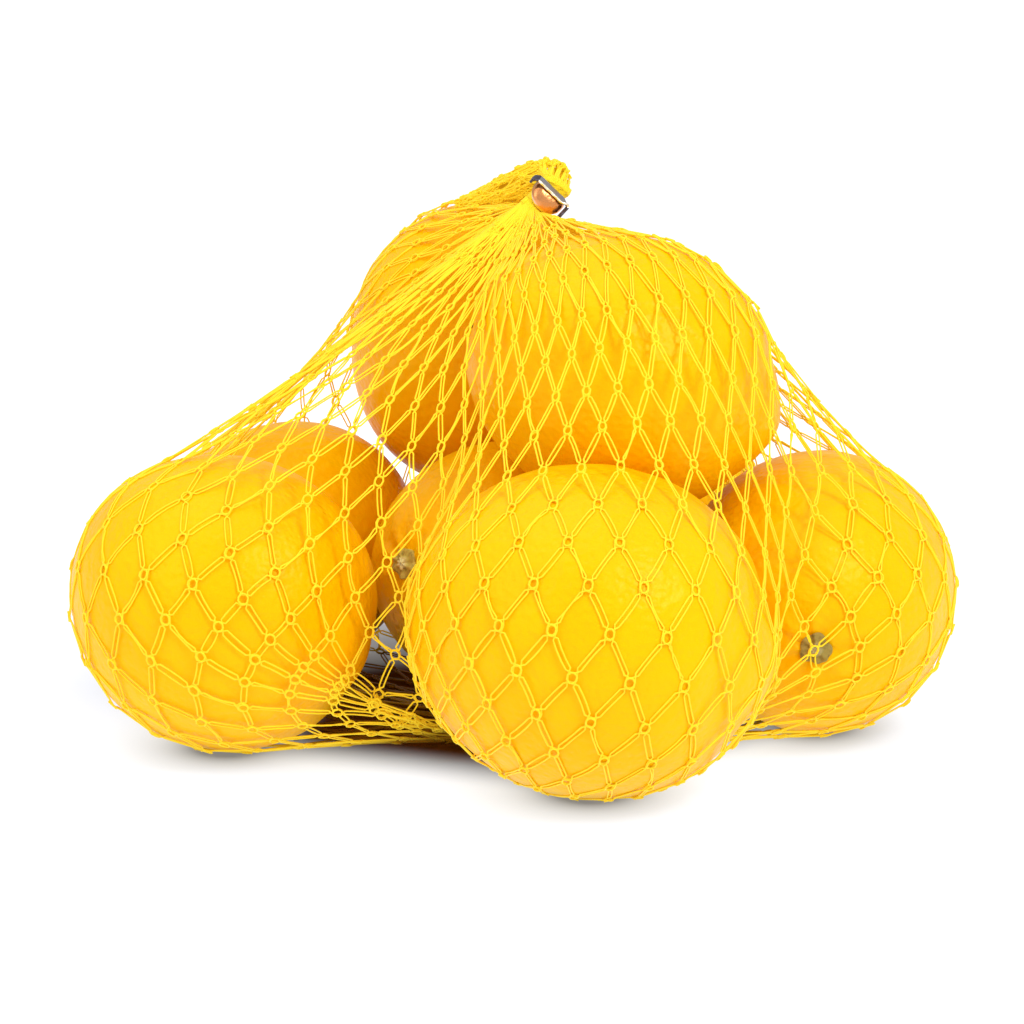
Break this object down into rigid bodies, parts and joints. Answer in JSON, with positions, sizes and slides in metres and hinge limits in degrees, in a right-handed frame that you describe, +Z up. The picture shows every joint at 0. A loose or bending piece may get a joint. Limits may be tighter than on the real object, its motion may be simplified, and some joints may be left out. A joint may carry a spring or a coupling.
{
  "type": "net of lemons",
  "caption": "Heap of ripe lemons held tight in a knitted yellow net, drawn into a neck with a metal clip and a short crumpled tail on top.",
  "frame": {"origin": "bottom centre of the bounding box, on the surface the net lies on", "axes": "+X to the right along the heap's longest side, +Y to its back, +Z up; the clip's bar and its rounded front face -Y"},
  "size_m": [0.186, 0.181, 0.1173],
  "materials": {
    "net_yarn": "thin clear-yellow extruded polyethylene strands, slightly glossy",
    "clip_metal": "plain rolled aluminium strip, crimped, satin",
    "lemon_peel": "ripe lemon peel: deep yellow, waxy satin, fine oil-gland pores",
    "stem_button": "dry olive-brown fruit stem button and calyx, matte"
  },
  "bodies": {
    "root": {"net_bag": "net_yarn", "clip": "clip_metal"}
  },
  "joints": []
}
